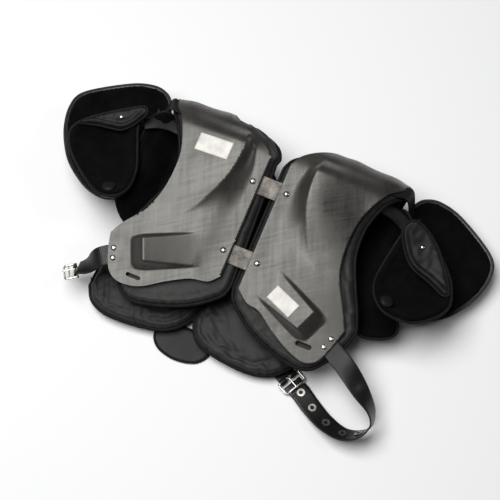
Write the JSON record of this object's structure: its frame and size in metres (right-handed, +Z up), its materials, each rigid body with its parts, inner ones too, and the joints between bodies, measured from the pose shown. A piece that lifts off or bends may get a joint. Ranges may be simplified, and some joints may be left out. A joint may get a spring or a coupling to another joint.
{
  "type": "shoulder pads",
  "caption": "Hard-shell shoulder pads: two moulded arches joined by webbing, padded liners, hinged outer flaps and cups, and side belts with buckles.",
  "frame": {"origin": "bottom centre of the whole object's box, on the plane that the rear panels rest on", "axes": "+X from the left half to the right half, +Y towards the neck opening, +Z up, from the rear panels to the front panels"},
  "size_m": [0.596, 0.3431, 0.1],
  "materials": {
    "shell_plastic": "charcoal satin moulded sheet, lightly scuffed",
    "flap_plastic": "thin black satin sheet",
    "suede": "black brushed lining",
    "liner_fabric": "black woven liner with piped edge",
    "webbing": "worn grey-beige woven webbing",
    "rivet_nickel": "nickel plate",
    "eyelet_nickel": "dulled nickel plate",
    "buckle_nickel": "nickel plate, handled",
    "belt_vinyl": "glossy black vinyl belt",
    "strap_leather": "black leather-like strap",
    "snap_plastic": "black snap cover",
    "label_paper": "blank off-white label"
  },
  "bodies": {
    "right_half": {"right_arch_shell": "shell_plastic", "right_front_liner": "liner_fabric", "right_rear_liner": "liner_fabric", "right_armhole_pad": "suede", "right_webbing_rivets": "rivet_nickel", "right_rear_rivets": "rivet_nickel", "right_belt_rivets": "rivet_nickel", "right_belt": "belt_vinyl", "right_label": "label_paper", "right_epaulet_strap": "strap_leather", "right_cup_strap": "strap_leather", "right_belt_eyelets": "eyelet_nickel", "right_chape": "belt_vinyl", "right_chape_rivets": "rivet_nickel", "upper_front_webbing": "webbing", "lower_front_webbing": "webbing", "upper_rear_webbing": "webbing", "lower_rear_webbing": "webbing"},
    "left_half": {"left_arch_shell": "shell_plastic", "left_front_liner": "liner_fabric", "left_rear_liner": "liner_fabric", "left_armhole_pad": "suede", "left_webbing_rivets": "rivet_nickel", "left_rear_rivets": "rivet_nickel", "left_belt_rivets": "rivet_nickel", "left_belt": "belt_vinyl", "left_label": "label_paper", "left_epaulet_strap": "strap_leather", "left_cup_strap": "strap_leather", "left_rear_strap": "belt_vinyl", "left_rear_strap_rivets": "rivet_nickel"},
    "right_epaulet": {"right_epaulet": "flap_plastic", "right_epaulet_lining": "suede"},
    "right_cup": {"right_cup_shell": "flap_plastic", "right_cup_pad": "suede", "right_cup_rivet": "rivet_nickel", "right_cup_snap": "snap_plastic"},
    "right_buckle": {"right_buckle_frame": "buckle_nickel"},
    "right_prong": {"right_buckle_prong": "buckle_nickel"},
    "left_epaulet": {"left_epaulet": "flap_plastic", "left_epaulet_lining": "suede"},
    "left_cup": {"left_cup_shell": "flap_plastic", "left_cup_pad": "suede", "left_cup_rivet": "rivet_nickel", "left_cup_snap": "snap_plastic"},
    "left_buckle": {"left_buckle_frame": "buckle_nickel"},
    "left_prong": {"left_buckle_prong": "buckle_nickel"},
    "rear_flap": {"rear_centre_flap": "liner_fabric"}
  },
  "joints": [
    {"name": "centre_fold", "type": "hinge", "parent": "right_half", "child": "left_half", "pos_m": [0, 0.0315, 0.041], "axis": [0, 1, 0], "range_deg": [-2, 4], "deforming": ["upper_front_webbing", "lower_front_webbing", "upper_rear_webbing", "lower_rear_webbing"]},
    {"name": "right_epaulet_swing", "type": "hinge", "parent": "right_half", "child": "right_epaulet", "pos_m": [0.172, 0.1455, 0.04], "axis": [0, 0, 1], "range_deg": [0, 35], "deforming": ["right_epaulet_strap"]},
    {"name": "right_cup_swing", "type": "hinge", "parent": "right_half", "child": "right_cup", "pos_m": [0.178, 0.1195, 0.066], "axis": [0, 0, 1], "range_deg": [-3, 30], "deforming": ["right_cup_strap"]},
    {"name": "left_epaulet_swing", "type": "hinge", "parent": "left_half", "child": "left_epaulet", "pos_m": [-0.172, 0.1455, 0.06], "axis": [0, 0, -1], "range_deg": [0, 35], "deforming": ["left_epaulet_strap"]},
    {"name": "left_cup_swing", "type": "hinge", "parent": "left_half", "child": "left_cup", "pos_m": [-0.178, 0.1195, 0.086], "axis": [0, 0, -1], "range_deg": [-3, 30], "deforming": ["left_cup_strap"]},
    {"name": "right_buckle_turn", "type": "hinge", "parent": "right_half", "child": "right_buckle", "pos_m": [0.1093, -0.1172, 0.0046], "axis": [-0.454, -0.891, 0], "range_deg": [0, 20]},
    {"name": "right_prong_turn", "type": "hinge", "parent": "right_buckle", "child": "right_prong", "pos_m": [0.1093, -0.1172, 0.0046], "axis": [-0.454, -0.891, 0], "range_deg": [0, 50]},
    {"name": "left_buckle_turn", "type": "hinge", "parent": "left_half", "child": "left_buckle", "pos_m": [-0.1925, -0.0995, 0.03], "axis": [-0.4755, 0.6545, -0.5878], "range_deg": [-40, 50]},
    {"name": "left_prong_turn", "type": "hinge", "parent": "left_buckle", "child": "left_prong", "pos_m": [-0.1925, -0.0995, 0.03], "axis": [-0.4755, 0.6545, -0.5878], "range_deg": [0, 50]},
    {"name": "rear_flap_swing", "type": "hinge", "parent": "right_half", "child": "rear_flap", "pos_m": [-0.031, -0.1065, 0.0015], "axis": [1, 0, 0], "range_deg": [0, 60]}
  ]
}
